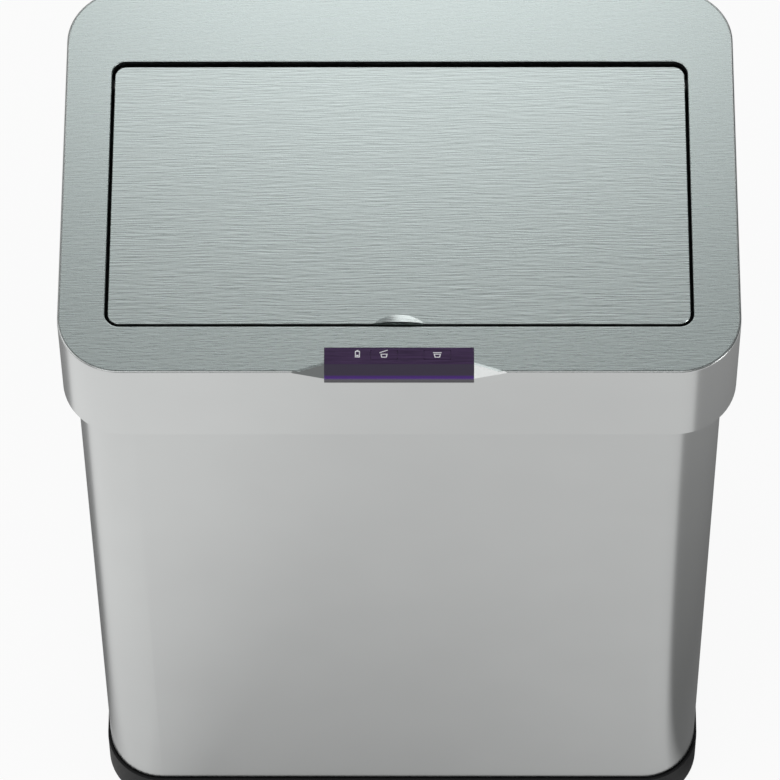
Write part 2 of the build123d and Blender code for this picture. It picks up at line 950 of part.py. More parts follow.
# Infrared pair that looks out through the bevel
sensors = {}
for sensor_name, sensor_at in (("ir_emitter", -sensor_x), ("ir_receiver", sensor_x)):
    sensor_back = bevel_plane(sensor_at, trim_sheet + seat_gap + sensor_length)
    with BuildPart() as sensor:
        with BuildSketch(sensor_back) as bulb:
            Circle(sensor_radius)
        extrude(bulb.sketch, amount=sensor_length)
        chamfer(edges().sort_by(Axis.Z)[-1], length=0.5 * sensor_radius)
        with BuildSketch(sensor_back) as collar:
            Circle(sensor_radius + sensor_flange)
        extrude(collar.sketch, amount=sensor_collar)
        for lead in (-1, 1):
            lead_x = sensor_at + lead * lead_spread
            lead_y = sensor_back.origin.Y - lead_side
            block(
                (lead_x - lead_side / 2, lead_x + lead_side / 2),
                (lead_y, lead_y + lead_side),
                (board_top, sensor_back.origin.Z),
            )
    sensors[sensor_name] = sensor

# Gearbox: flat plate against the well wall and a cover over the train
with BuildPart() as gearbox_plate:
    block((plate_outer_x, plate_x), (case_front, case_rear), (bay_floor, case_top))
    rod((plate_outer_x, plate_x), hinge_y, hinge_z, bushing_radius + running_gap, Mode.SUBTRACT)
    rod((plate_outer_x, plate_x), motor_y, train_z, motor_boss_radius + fit_gap, Mode.SUBTRACT)
    for axle_y, axle_z in axles:
        rod((plate_outer_x, plate_outer_x + axle_seat), axle_y, axle_z, axle_radius, Mode.SUBTRACT)
    fillet(edges().filter_by(Axis.X).group_by(Axis.Z)[-1], radius=3.0)

with BuildPart() as gearbox_cover:
    block((cover_outer_x, plate_outer_x), (case_front, case_rear), (bay_floor, case_top))
    fillet(edges().filter_by(Axis.X).group_by(Axis.Z)[-1], radius=3.0)
    block(
        (cover_inner_x, plate_outer_x),
        (case_front + gearbox_wall, case_rear - gearbox_wall),
        (bay_floor + gearbox_wall, case_top + 1),
        Mode.SUBTRACT,
    )
    for axle_y, axle_z in axles:
        rod((cover_inner_x - axle_seat, cover_inner_x), axle_y, axle_z, axle_radius, Mode.SUBTRACT)

with BuildPart() as gear_axles:
    for axle_y, axle_z in axles:
        rod((cover_inner_x - axle_seat, plate_outer_x + axle_seat), axle_y, axle_z, axle_radius)

# Sector on the lid's shaft; its teeth stay below the hinge over the lid's travel
sector_pitch = 2 * pi / sector_teeth
teeth_ahead = int(radians(sector_margin) / sector_pitch)
teeth_behind = int(radians(lid_travel + sector_margin) / sector_pitch)
with BuildPart() as lid_gear:
    toothed_disc(
        train_end,
        hinge_y,
        hinge_z,
        gear_face,
        sector_teeth,
        low_module,
        -pi / 2 - teeth_ahead * sector_pitch,
        wheel_addendum,
        wheel_dedendum,
        teeth_ahead + teeth_behind + 1,
    )
    rod((train_end, train_end + gear_face), hinge_y, hinge_z, sector_hub_radius)
    rod((train_end, train_end + gear_face), hinge_y, hinge_z, shaft_radius, Mode.SUBTRACT)

pinion_step = pi / pinion_teeth
with BuildPart() as compound_gear_low:
    toothed_disc(
        layer_b - gear_face,
        low_y,
        train_z,
        gear_face,
        wheel_teeth,
        middle_module,
        0.0,
        wheel_addendum,
        wheel_dedendum,
    )
    rod((train_end, layer_b), low_y, train_z, axle_radius + 1.2)
    toothed_disc(
        train_end,
        low_y,
        train_z,
        gear_face,
        pinion_teeth,
        low_module,
        pi / 2 + pinion_step,
        pinion_addendum,
        pinion_dedendum,
    )
    rod((train_end, layer_b), low_y, train_z, axle_radius + running_gap, Mode.SUBTRACT)

with BuildPart() as compound_gear_high:
    toothed_disc(
        layer_a - gear_face,
        middle_y,
        train_z,
        gear_face,
        wheel_teeth,
        fast_module,
        0.0,
        wheel_addendum,
        wheel_dedendum,
    )
    rod((layer_b - gear_face, layer_a), middle_y, train_z, axle_radius + 0.9)
    toothed_disc(
        layer_b - gear_face,
        middle_y,
        train_z,
        gear_face,
        pinion_teeth,
        middle_module,
        pi + pinion_step,
        pinion_addendum,
        pinion_dedendum,
    )
    rod((layer_b - gear_face, layer_a), middle_y, train_z, axle_radius + running_gap, Mode.SUBTRACT)

with BuildPart() as motor_rotor:
    toothed_disc(
        layer_a - gear_face,
        motor_y,
        train_z,
        gear_face,
        pinion_teeth,
        fast_module,
        pi + pinion_step,
        pinion_addendum,
        pinion_dedendum,
    )
    rod((layer_a - gear_face, plate_x + motor_length / 4), motor_y, train_z, motor_shaft_radius)

with BuildPart() as motor_can:
    rod((plate_x, plate_x + motor_length), motor_y, train_z, motor_radius)
    block(
        (plate_x, plate_x + motor_length),
        (motor_y - motor_radius, motor_y + motor_radius),
        (train_z - motor_flat, train_z + motor_flat),
        Mode.INTERSECT,
    )
    fillet(faces().sort_by(Axis.X)[-1].edges(), radius=1.2)
    rod((plate_x - motor_boss_length, plate_x), motor_y, train_z, motor_boss_radius)
    rod(
        (plate_x - motor_boss_length, plate_x + motor_length / 4 + seat_gap),
        motor_y,
        train_z,
        motor_shaft_radius + running_gap,
        Mode.SUBTRACT,
    )

# Bushings in the well walls: flange towards the lid, barrel through the wall
with BuildPart() as hinge_bushings:
    for end in (-1, 1):
        inner = end * (lid_half + bushing_end_play)
        shoulder = end * well_half
        outer = end * (well_outer + gearbox_plate_thickness)
        rod(sorted((inner, shoulder)), hinge_y, hinge_z, bushing_flange_radius)
        rod(sorted((shoulder, outer)), hinge_y, hinge_z, bushing_radius)
        rod(sorted((inner, outer)), hinge_y, hinge_z, shaft_radius + running_gap, Mode.SUBTRACT)

# Lid: steel skin with a folded edge and a raised finger pull
with BuildPart() as lid_skin:
    rounded_block(
        2 * lid_half, lid_depth, lid_corner, can_height - lid_fold, can_height, middle_y=lid_mid
    )
    chamfer(faces().sort_by(Axis.Z)[-1].edges(), length=0.3 * lid_sheet)
    with Locations((0, lid_front, can_height)):
        add(pull_dome(0.0))
    rounded_block(
        2 * (lid_half - lid_sheet),
        lid_depth - 2 * lid_sheet,
        lid_corner - lid_sheet,
        can_height - lid_fold,
        can_height - lid_sheet,
        Mode.SUBTRACT,
        middle_y=lid_mid,
    )
    with Locations((0, lid_front, can_height)):
        add(pull_dome(pull_wall), mode=Mode.SUBTRACT)

# Lid: moulded tray with walls, ribs, hinge bosses and the filter pocket
tray_inset = lid_sheet + fit_gap / 3
tray_top = can_height - lid_sheet
pocket_top = lid_under + lid_wall + filter_height
with BuildPart() as lid_tray:
    rounded_block(
        2 * (lid_half - tray_inset),
        lid_depth - 2 * tray_inset,
        lid_corner - tray_inset,
        lid_under,
        tray_top,
        middle_y=lid_mid,
    )
    fillet(faces().sort_by(Axis.Z)[0].edges(), radius=1.5)
    rounded_block(
        2 * (lid_half - tray_inset - lid_wall),
        lid_depth - 2 * (tray_inset + lid_wall),
        lid_corner - tray_inset - lid_wall,
        lid_under + lid_wall,
        tray_top,
        Mode.SUBTRACT,
        middle_y=lid_mid,
    )
    rib_height = tray_top - lid_under - lid_wall
    with Locations((0, lid_mid, lid_under + lid_wall + rib_height / 2)):
        with GridLocations(lid_rib_pitch, 1, 5, 1):
            Box(lid_rib_wall, lid_depth - 2 * lid_wall, rib_height)
    block(
        (-filter_width / 2 - filter_wall, filter_width / 2 + filter_wall),
        (lid_mid - filter_depth / 2 - filter_wall, lid_mid + filter_depth / 2 + filter_wall),
        (lid_under, pocket_top + filter_wall),
    )
    for end in (-1, 1):
        boss_outer = end * (lid_half - tray_inset - 0.75 * lid_wall)
        boss_span = sorted((boss_outer, boss_outer - end * hinge_boss_length))
        block(
            boss_span,
            (hinge_y - hinge_boss_radius, hinge_y + hinge_boss_radius),
            (lid_under + lid_wall / 2, tray_top),
        )
    block(
        (-filter_width / 2, filter_width / 2),
        (lid_mid - filter_depth / 2, lid_mid + filter_depth / 2),
        (lid_under, pocket_top),
        Mode.SUBTRACT,
    )
    block(
        (-filter_width / 2 - grille_lip, filter_width / 2 + grille_lip),
        (lid_mid - filter_depth / 2 - grille_lip, lid_mid + filter_depth / 2 + grille_lip),
        (lid_under, lid_under + grille_sheet),
        Mode.SUBTRACT,
    )
    for end in (-1, 1):
        bore_span = sorted((end * lid_half, end * (lid_half - tray_inset - hinge_boss_length)))
        rod(bore_span, hinge_y, hinge_z, shaft_radius, Mode.SUBTRACT)

with BuildPart() as carbon_filter:
    rounded_block(
        filter_width - 2 * seat_gap,
        filter_depth - 2 * seat_gap,
        3.0,
        lid_under + grille_sheet,
        pocket_top - fit_gap,
        middle_y=lid_mid,
    )

with BuildPart() as filter_grille:
    rounded_block(
        filter_width + 2 * (grille_lip - seat_gap),
        filter_depth + 2 * (grille_lip - seat_gap),
        0.5,
        lid_under,
        lid_under + grille_sheet,
        middle_y=lid_mid,
    )
    louvre_pitch = filter_depth / louvre_count
    with BuildSketch(Plane.XY.offset(lid_under)) as slots:
        with Locations((0, lid_mid)):
            with GridLocations(1, louvre_pitch, 1, louvre_count):
                Rectangle(filter_width - 2 * grille_lip, louvre_width)
    extrude(slots.sketch, amount=grille_sheet, mode=Mode.SUBTRACT)

# Drive shaft on the left, plain pin on the right
with BuildPart() as drive_shaft:
    shaft_inner = -(lid_half - tray_inset - hinge_boss_length)
    rod((train_end - gear_space / 2, shaft_inner), hinge_y, hinge_z, shaft_radius)
    chamfer(edges().filter_by(GeomType.CIRCLE), length=0.4)

with BuildPart() as hinge_pin:
    rod((-shaft_inner, well_outer + gearbox_plate_thickness + 1), hinge_y, hinge_z, shaft_radius)
    chamfer(edges().filter_by(GeomType.CIRCLE), length=0.4)

# Rubber bumpers that the closed lid lies on
with BuildPart() as lid_bumpers:
    for end in (-1, 1):
        post(end * bumper_spread, bumper_y, ledge_top, lid_under - seat_gap, bumper_radius)
        post(end * bumper_spread, bumper_y, ledge_top - ledge_wall, ledge_top, bumper_stem_radius)

# Screws up through the pillars
with BuildPart() as housing_screws:
    screw_seat = bay_floor + pillar_height - floor_wall
    for post_x, post_y in head_posts:
        post(post_x, post_y, screw_seat - screw_head_height, screw_seat, screw_head_radius)
        post(post_x, post_y, screw_seat, screw_seat + floor_wall + screw_reach, screw_radius)

# Battery box with a trough for one row of cells, open to the rear
with BuildPart() as battery_box:
    block(
        (battery_x - box_half, battery_x + box_half),
        (box_front, box_rear),
        (bay_floor, box_top),
    )
    with BuildSketch(Plane.YZ.offset(battery_x - box_length / 2)) as trough:
        with Locations((cell_y, cell_z)):
            Circle(trough_radius)
        with Locations(((cell_y + box_rear) / 2 + 1, cell_z)):
            Rectangle(box_rear - cell_y + 2, 2 * trough_radius)
    extrude(trough.sketch, amount=box_length, mode=Mode.SUBTRACT)

with BuildPart() as batteries:
    for index in range(cell_count):
        cell_start = battery_x - cells_length / 2 + index * cell_length
        rod((cell_start, cell_start + cell_length - cell_nub), cell_y, cell_z, cell_radius)
        nub_span = (cell_start + cell_length - cell_nub, cell_start + cell_length - cell_play)
        rod(nub_span, cell_y, cell_z, cell_nub_radius)

# Folded contact strips at the two ends of the row
with BuildPart() as battery_contacts:
    for end in (-1, 1):
        wall_x = battery_x + end * box_length / 2
        back_x = wall_x - end * contact_sheet / 2
        touch_x = battery_x + end * (cells_length + contact_sheet) / 2
        fold_y = cell_y + contact_back / 2
        with BuildSketch(Plane.XY.offset(cell_z)) as strip:
            with BuildLine():
                FilletPolyline(
                    (back_x, fold_y - contact_back),
                    (back_x, fold_y),
                    (touch_x, fold_y - contact_slope),
                    (touch_x, fold_y - contact_slope - contact_flat),
                    radius=2 * contact_sheet,
                )
            trace(line_width=contact_sheet)
        extrude(strip.sketch, amount=contact_width / 2, both=True)

# Battery door: flush plate that folds down on two pins at its lower edge
with BuildPart() as battery_door:
    with BuildSketch(Plane.XZ.offset(-rear)) as panel:
        with Locations((battery_x, (door_axis_z + door_top) / 2)):
            Rectangle(2 * door_half, door_top - door_axis_z)
    extrude(panel.sketch, amount=door_wall)
    fillet(edges().filter_by(Axis.Y).group_by(Axis.Z)[-1], radius=door_corner)
    rod((battery_x - door_half, battery_x + door_half), door_axis_y, door_axis_z, door_barrel_radius)
    pin_end = door_half + door_gap + door_pin_length - seat_gap
    rod((battery_x - pin_end, battery_x + pin_end), door_axis_y, door_axis_z, door_pin_radius)
    with BuildSketch(Plane.XZ.offset(-rear)) as notch:
        with Locations((battery_x, door_top)):
            Circle(door_notch_radius)
    extrude(notch.sketch, amount=door_notch_depth, mode=Mode.SUBTRACT)

# Power inlet: body behind the skirt, nose through it, socket round a centre pin
with BuildPart() as dc_jack:
    jack_back = rear - skirt_wall - seat_gap
    block(
        (inlet_x - jack_width / 2, inlet_x + jack_width / 2),
        (jack_back - jack_length, jack_back),
        (jack_z - jack_height / 2, jack_z + jack_height / 2),
    )
    nose_y = rear - seat_gap
    with BuildSketch(Plane.XZ.offset(-nose_y)) as nose:
        with Locations((inlet_x, jack_z)):
            Circle(jack_radius)
    extrude(nose.sketch, amount=nose_y - jack_back)
    with BuildSketch(Plane.XZ.offset(-nose_y)) as socket:
        with Locations((inlet_x, jack_z)):
            Circle(jack_bore_radius)
            Circle(jack_pin_radius, mode=Mode.SUBTRACT)
    extrude(socket.sketch, amount=jack_bore_depth, mode=Mode.SUBTRACT)
    with BuildSketch(Plane.XZ.offset(-nose_y)) as pin_tip:
        with Locations((inlet_x, jack_z)):
            Circle(jack_pin_radius)
    extrude(pin_tip.sketch, amount=jack_bore_depth - jack_pin_length, mode=Mode.SUBTRACT)

# Rocker switch: framed body set in behind the skirt
with BuildPart() as switch_body:
    block(
        (inlet_x - switch_width / 2, inlet_x + switch_width / 2),
        (rear - skirt_wall - switch_body_depth, rear - skirt_wall - fit_gap),
        (switch_z - switch_tall / 2, switch_z + switch_tall / 2),
    )
    block(
        (inlet_x - switch_width / 2 + switch_wall, inlet_x + switch_width / 2 - switch_wall),
        (rear - skirt_wall - switch_body_depth + switch_wall, rear),
        (switch_z - switch_tall / 2 + switch_wall, switch_z + switch_tall / 2 - switch_wall),
        Mode.SUBTRACT,
    )
    rod(
        (inlet_x - switch_width / 2 + switch_wall / 2, inlet_x + switch_width / 2 - switch_wall / 2),
        rocker_y,
        switch_z,
        rocker_pivot_radius,
    )

with BuildPart() as power_rocker:
    rocker_span = switch_width / 2 - switch_wall - rocker_gap
    with BuildSketch(Plane.YZ.offset(inlet_x - rocker_span)) as rocker_side:
        with BuildLine():
            rise = rocker_half * tan(radians(rocker_tilt))
            Polyline(
                (rocker_y + rocker_pivot_depth, switch_z),
                (rocker_y + rocker_pivot_depth + rise, switch_z + rocker_half),
                (rocker_y + 1.0, switch_z + rocker_half - 0.6),
                (rocker_y - 3.0, switch_z + 3.0),
                (rocker_y - 3.0, switch_z - 3.0),
                (rocker_y + 1.0, switch_z - rocker_half + 0.6),
                (rocker_y + rocker_pivot_depth + rise, switch_z - rocker_half),
                close=True,
            )
        make_face()
    pivot = Axis((0, rocker_y, switch_z), (1, 0, 0))
    extrude(rocker_side.sketch.rotate(pivot, rocker_tilt), amount=2 * rocker_span)
    rod(
        (inlet_x - rocker_span, inlet_x + rocker_span),
        rocker_y,
        switch_z,
        rocker_pivot_radius + running_gap,
        Mode.SUBTRACT,
    )

# Every finished piece, one file each
pieces = {
    "body_sleeve": body_sleeve,
    "base_tray": base_tray,
    "rubber_feet": rubber_feet,
    "bag_ring": bag_ring,
    "lower_housing": lower_housing,
    "upper_housing": upper_housing,
    "top_trim": top_trim,
    "sensor_window": sensor_window,
    **keys,
    "main_board": main_board,
    "key_switches": key_switches,
    "battery_light": battery_light,
    **sensors,
    "gearbox_plate": gearbox_plate,
    "gearbox_cover": gearbox_cover,
    "gear_axles": gear_axles,
    "lid_gear": lid_gear,
    "compound_gear_low": compound_gear_low,
    "compound_gear_high": compound_gear_high,
    "motor_rotor": motor_rotor,
    "motor_can": motor_can,
    "hinge_bushings": hinge_bushings,
    "lid_skin": lid_skin,
    "lid_tray": lid_tray,
    "carbon_filter": carbon_filter,
    "filter_grille": filter_grille,
    "drive_shaft": drive_shaft,
    "hinge_pin": hinge_pin,
    "lid_bumpers": lid_bumpers,
    "housing_screws": housing_screws,
    "battery_box": battery_box,
    "batteries": batteries,
    "battery_contacts": battery_contacts,
    "battery_door": battery_door,
    "dc_jack": dc_jack,
    "switch_body": switch_body,
    "power_rocker": power_rocker,
}
os.makedirs("parts", exist_ok=True)
for piece_name, piece in pieces.items():
    piece.part.label = piece_name
    export_step(piece.part, f"parts/{piece_name}.step")
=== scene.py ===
import math

import bmesh
import bpy
from mathutils import Matrix, Vector


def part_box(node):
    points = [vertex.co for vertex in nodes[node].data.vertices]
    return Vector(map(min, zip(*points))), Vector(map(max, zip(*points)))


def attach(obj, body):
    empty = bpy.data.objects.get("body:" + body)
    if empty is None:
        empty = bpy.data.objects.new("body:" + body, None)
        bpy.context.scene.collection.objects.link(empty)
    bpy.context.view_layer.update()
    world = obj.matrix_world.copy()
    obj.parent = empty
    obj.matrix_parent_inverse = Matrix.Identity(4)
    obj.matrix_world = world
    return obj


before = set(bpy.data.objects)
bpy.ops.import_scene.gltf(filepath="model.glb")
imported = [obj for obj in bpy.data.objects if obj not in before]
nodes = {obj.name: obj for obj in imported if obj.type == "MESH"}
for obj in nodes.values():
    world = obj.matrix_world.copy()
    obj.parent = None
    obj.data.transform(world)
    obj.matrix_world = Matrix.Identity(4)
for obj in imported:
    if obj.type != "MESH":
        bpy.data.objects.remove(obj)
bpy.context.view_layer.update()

# Sensor bin in metres: floor centre at the origin, front towards -Y
MM = 0.001

# Camera: long lens above the front edge, as in the photograph
PICTURE = 780
FOCAL_PIXELS = 5995.0
SENSOR_WIDTH = 36.0
ELEVATION = math.radians(59.1)
DISTANCE = 3596 * MM
LIFT = 11.745 * MM
SIDE_STEP = 16.2 * MM
CENTRE_PIXEL_OFFSET = 36

# Light levels: 1 is white
CAMERA_WHITE = 0.93
GLOSSY_WHITE = 0.92
WORLD_BRIGHT = (0.36, 0.37, 0.37)
WORLD_DARK = (0.14, 0.15, 0.15)

# Painted shadow and light on the floor, seen only in reflections in metal. A ramp holds where it starts and
# ends in metres, then its level at each end.
# FRONT_FAR and RIGHT_GLOW add to FRONT_NEAR, LEFT_GLOW takes its place on the left.
FOOT_HALF_DEPTH = 0.139
FOOT_LEFT = -0.19
FRONT_NEAR = (0.0, 0.2, 0.52, 0.78)
FRONT_FAR = (0.2, 0.42, 0.0, 0.10)
RIGHT_GLOW = (0.02, 0.2, 0.0, 0.12)
RIGHT_GLOW_FADE = (0.05, 0.2, 1.0, 0.2)
LEFT_GLOW = (0.24, 0.42, 0.82, 1.02)
LEFT_GLOW_REACH = (0.0, 0.14, 1.0, 0.0)
SHADOW_LEVEL = (0.3, 0.6, 0.17, 0.40)
SHADOW_FADE = (0.6, 1.1, 1.0, 0.0)

# Borders of the painted shadow on the floor beside and behind the bin: a line's point and direction, then
# soft widths
RIGHT_LINE = ((0.205, -0.137), (0.574, -0.819))
RIGHT_LINE_SOFT = (-0.005, 0.02)
RIGHT_START = (0.16, 0.2)
LEFT_LINE = ((-0.21, -0.095), (0.894, -0.447))
LEFT_LINE_SOFT = (-0.03, 0.02)
LEFT_START = (-0.203, -0.215)
REAR_START = (0.14, 0.24)
FLOOR_REACH = 14.0
FLOOR_DROP = 0.2 * MM

# Surroundings: how the level changes with direction, and over what range of it
SLANT_X = 0.8
SLANT_Y = 0.35
SLANT_RANGE = (-0.5, 0.6)

# Sensor window: depths below its top face at which each band begins and is complete: painted reflection on
# the bevel, a painted highlight strip and painted shade on the lower edge
BEVEL_REFLECTION_START = (0.7 * MM, 1.1 * MM)
HIGHLIGHT_STRIP_START = (5.6 * MM, 6.4 * MM)
HIGHLIGHT_STRIP_END = (7.4 * MM, 8.2 * MM)
LOWER_EDGE_SHADE = (8.6 * MM, 9.2 * MM)

# Printed signs in millimetres: how far the print goes into the face and stands proud of it
PRINT_SINK = 0.05
PRINT_RISE = 0.04
BIN_OUTLINE = [(-1.6, -2.7), (1.6, -2.7), (2.2, -0.1), (-2.2, -0.1)]
BIN_HOLE = [(-1.05, -2.15), (1.05, -2.15), (1.5, -0.65), (-1.5, -0.65)]
OPEN_LID_TURN = 20
BATTERY_SIGN_X = -25.0 * MM

# Rocker: middles of its two faces, in from its box, and the tilts that lay the print on them
UPPER_FACE_IN = 2.08 * MM
UPPER_FACE_DOWN = 3.8 * MM
UPPER_FACE_TILT = -90
LOWER_FACE_IN = 1.04 * MM
LOWER_FACE_UP = 3.64 * MM
LOWER_FACE_TILT = -74


def make_camera():
    """Puts the camera on the fitted line of sight, turned a third of a degree instead of shifted."""
    data = bpy.data.cameras.new("camera")
    data.sensor_width = SENSOR_WIDTH
    data.lens = FOCAL_PIXELS / PICTURE * SENSOR_WIDTH
    data.clip_start = 0.05
    data.clip_end = 60.0
    camera = bpy.data.objects.new("camera", data)
    bpy.context.collection.objects.link(camera)
    trim_low, trim_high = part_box("top_trim")
    top_front = Vector((0, trim_low.y, trim_high.z))
    forward = Vector((0, math.cos(ELEVATION), -math.sin(ELEVATION)))
    up = Vector((0, math.sin(ELEVATION), math.cos(ELEVATION)))
    place = top_front - forward * DISTANCE - up * LIFT
    place.x += SIDE_STEP
    aim = forward - Vector((CENTRE_PIXEL_OFFSET / FOCAL_PIXELS, 0, 0))
    back = -aim.normalized()
    right = up.cross(back).normalized()
    true_up = back.cross(right)
    turn = Matrix((right, true_up, back)).transposed().to_4x4()
    camera.matrix_world = Matrix.Translation(place) @ turn
    bpy.context.scene.camera = camera


class Nodes:
    """A node tree and a few short ways to build it."""

    def __init__(self, owner):
        owner.use_nodes = True
        self.tree = owner.node_tree

    def node(self, kind, **settings):
        made = self.tree.nodes.new(kind)
        for key, value in settings.items():
            setattr(made, key, value)
        return made

    def feed(self, target, value):
        """Links an output to an input, or sets the input's own value."""
        if isinstance(value, bpy.types.NodeSocket):
            self.tree.links.new(value, target)
        else:
            target.default_value = value

    def place(self, scale=(1, 1, 1)):
        """Object coordinates stretched per axis."""
        mapping = self.node("ShaderNodeMapping")
        self.feed(mapping.inputs["Vector"], self.node("ShaderNodeTexCoord").outputs["Object"])
        mapping.inputs["Scale"].default_value = scale
        return mapping.outputs["Vector"]

    def noise(self, vector, scale=1.0, detail=3.0, rough=0.55):
        made = self.node("ShaderNodeTexNoise")
        self.feed(made.inputs["Vector"], vector)
        made.inputs["Scale"].default_value = scale
        made.inputs["Detail"].default_value = detail
        made.inputs["Roughness"].default_value = rough
        return made.outputs["Fac"]

    def voronoi(self, vector, scale):
        made = self.node("ShaderNodeTexVoronoi")
        self.feed(made.inputs["Vector"], vector)
        made.inputs["Scale"].default_value = scale
        return made.outputs["Distance"]

    def maths(self, operation, first, second=0.0, third=0.0):
        made = self.node("ShaderNodeMath", operation=operation)
        for socket, value in zip(made.inputs, (first, second, third)):
            self.feed(socket, value)
        return made.outputs[0]

    def add(self, first, second):
        return self.maths("ADD", first, second)

    def times(self, first, second):
        return self.maths("MULTIPLY", first, second)

    def larger(self, first, second):
        return self.maths("MAXIMUM", first, second)

    def span(self, value, low, high, into_low=0.0, into_high=1.0):
        """Moves a value's range from one span to another, clamped."""
        made = self.node("ShaderNodeMapRange")
        self.feed(made.inputs["Value"], value)
        made.inputs["From Min"].default_value = low
        made.inputs["From Max"].default_value = high
        made.inputs["To Min"].default_value = into_low
        made.inputs["To Max"].default_value = into_high
        return made.outputs["Result"]

    def mix(self, factor, first, second):
        """Mixes two colours."""
        made = self.node("ShaderNodeMix", data_type="RGBA")
        self.feed(made.inputs[0], factor)
        self.feed(made.inputs[6], colour(first))
        self.feed(made.inputs[7], colour(second))
        return made.outputs[2]

    def mix_value(self, factor, first, second):
        made = self.node("ShaderNodeMix", data_type="FLOAT")
        self.feed(made.inputs[0], factor)
        self.feed(made.inputs[2], first)
        self.feed(made.inputs[3], second)
        return made.outputs[0]

    def bump(self, height, strength, distance):
        made = self.node("ShaderNodeBump")
        made.inputs["Strength"].default_value = strength
        made.inputs["Distance"].default_value = distance
        self.feed(made.inputs["Height"], height)
        return made.outputs["Normal"]

    def coordinates(self, kind="Object"):
        """The three coordinates of one kind, one by one."""
        split = self.node("ShaderNodeSeparateXYZ")
        self.feed(split.inputs[0], self.node("ShaderNodeTexCoord").outputs[kind])
        return split.outputs[:3]

    def line(self, x, y, through, direction):
        """Distance to the left of a line on the floor, seen along its direction."""
        across = Vector((-direction[1], direction[0])).normalized()
        first = self.times(self.maths("SUBTRACT", x, through[0]), across.x)
        return self.maths("MULTIPLY_ADD", self.maths("SUBTRACT", y, through[1]), across.y, first)

    def blend_shaders(self, factor, first, second):
        made = self.node("ShaderNodeMixShader")
        self.feed(made.inputs[0], factor)
        self.feed(made.inputs[1], first)
        self.feed(made.inputs[2], second)
        return made.outputs[0]


class Shader(Nodes):
    """A material and its surface shader."""

    def __init__(self, name):
        self.material = bpy.data.materials.new(name)
        super().__init__(self.material)
        self.surface = self.tree.nodes["Principled BSDF"]

    def set(self, **values):
        """Sets inputs of the surface shader; an underscore in a name stands for a space."""
        for key, value in values.items():
            self.feed(self.surface.inputs[key.replace("_", " ")], value)


def colour(value):
    """A colour with its alpha; a linked colour stays as it is."""
    return value if isinstance(value, bpy.types.NodeSocket) else (*value, 1.0)


def scaled(base, factor):
    return [min(1.0, channel * factor) for channel in base]


def brushed_steel(name, base, streak, coarse, tone, rough):
    """Steel brushed along X: fine streaks over a share of broader soft ones."""
    shade = Shader(name)
    drift = shade.noise(shade.place((12, 12, 12)), detail=1)
    wander = shade.node("ShaderNodeVectorMath", operation="MULTIPLY_ADD")
    shade.feed(wander.inputs[0], drift)
    wander.inputs[1].default_value = (0, 5 * MM, 0)
    shade.feed(wander.inputs[2], shade.node("ShaderNodeTexCoord").outputs["Object"])

    def along(length_scale, line_scale, aside=0.0):
        mapping = shade.node("ShaderNodeMapping")
        shade.feed(mapping.inputs["Vector"], wander.outputs[0])
        mapping.inputs["Location"].default_value = (0, aside, 0)
        mapping.inputs["Scale"].default_value = (length_scale, line_scale, line_scale)
        return mapping.outputs["Vector"]

    # A noise less itself three quarters of a line further on: even scratches with no broad blotches
    ridge = shade.noise(along(*streak), detail=1.0, rough=0.6)
    groove = shade.noise(along(*streak, 0.75), detail=1.0, rough=0.6)
    lines = shade.add(shade.maths("SUBTRACT", ridge, groove), 0.5)
    bands = shade.noise(along(*coarse), detail=1.0)
    both = shade.add(shade.times(lines, 0.9), shade.times(bands, 0.1))
    light = shade.span(both, 0.32, 0.68)
    shade.set(
        Base_Color=shade.mix(light, scaled(base, 1 - tone), scaled(base, 1 + tone)),
        Metallic=1.0,
        Roughness=shade.span(both, 0.3, 0.7, rough - 0.03, rough + 0.04),
        Normal=shade.bump(both, 0.03, 0.05 * MM),
    )
    return shade.material


def satin_metal(name, base, rough):
    """Fine blasted silver with a barely visible grain and soft cloudiness."""
    shade = Shader(name)
    grain = shade.noise(shade.place(), scale=2600, detail=2)
    cloud = shade.noise(shade.place(), scale=14, detail=3)
    tone = shade.span(cloud, 0.3, 0.7)
    shade.set(
        Base_Color=shade.mix(tone, scaled(base, 0.985), scaled(base, 1.015)),
        Metallic=1.0,
        Roughness=shade.span(grain, 0.3, 0.7, rough - 0.025, rough + 0.025),
        Normal=shade.bump(grain, 0.06, 0.08 * MM),
    )
    return shade.material


def moulded(name, base, rough, grain_size=1800, depth=0.25, gloss=0.5):
    """Moulded plastic with a spark-eroded grain, paler in soft clouds."""
    shade = Shader(name)
    cells = shade.voronoi(shade.place(), grain_size)
    cloud = shade.noise(shade.place(), scale=30, detail=4)
    pale = [channel * 1.35 + 0.003 for channel in base]
    shade.set(
        Base_Color=shade.mix(shade.span(cloud, 0.3, 0.75), base, pale),
        Roughness=shade.span(cells, 0.0, 0.8, rough - 0.06, rough + 0.1),
        Normal=shade.bump(cells, depth, 0.06 * MM),
        Specular_IOR_Level=gloss,
    )
    return shade.material


def window_tint(name, top_z):
    """Dark violet acrylic, streaked like the plate, with painted reflection on its bevel, a painted
    highlight strip low on its front and painted shade along its lower edge.
    """
    shade = Shader(name)
    streaks = shade.noise(shade.place((45, 900, 900)), detail=2)
    depth = shade.maths("SUBTRACT", top_z, shade.coordinates()[2])
    # Painted highlight: a brighter violet strip where the front bends down
    highlight_strip = shade.times(shade.span(depth, *HIGHLIGHT_STRIP_START), shade.span(depth, *HIGHLIGHT_STRIP_END, 1.0, 0.0))
    violet = shade.mix(shade.span(streaks, 0.35, 0.65), (0.036, 0.013, 0.058), (0.060, 0.024, 0.092))
    # Painted reflection: paler violet on the bevel
    violet = shade.mix(shade.span(depth, *BEVEL_REFLECTION_START), violet, (0.054, 0.039, 0.074))
    violet = shade.mix(highlight_strip, violet, (0.085, 0.022, 0.24))
    # Painted shade: darker along the lower edge
    violet = shade.mix(shade.span(depth, *LOWER_EDGE_SHADE), violet, (0.022, 0.018, 0.03))
    shade.set(
        Base_Color=violet,
        Roughness=shade.span(streaks, 0.3, 0.7, 0.16, 0.22),
        Coat_Weight=0.25,
        Coat_Roughness=0.06,
    )
    return shade.material


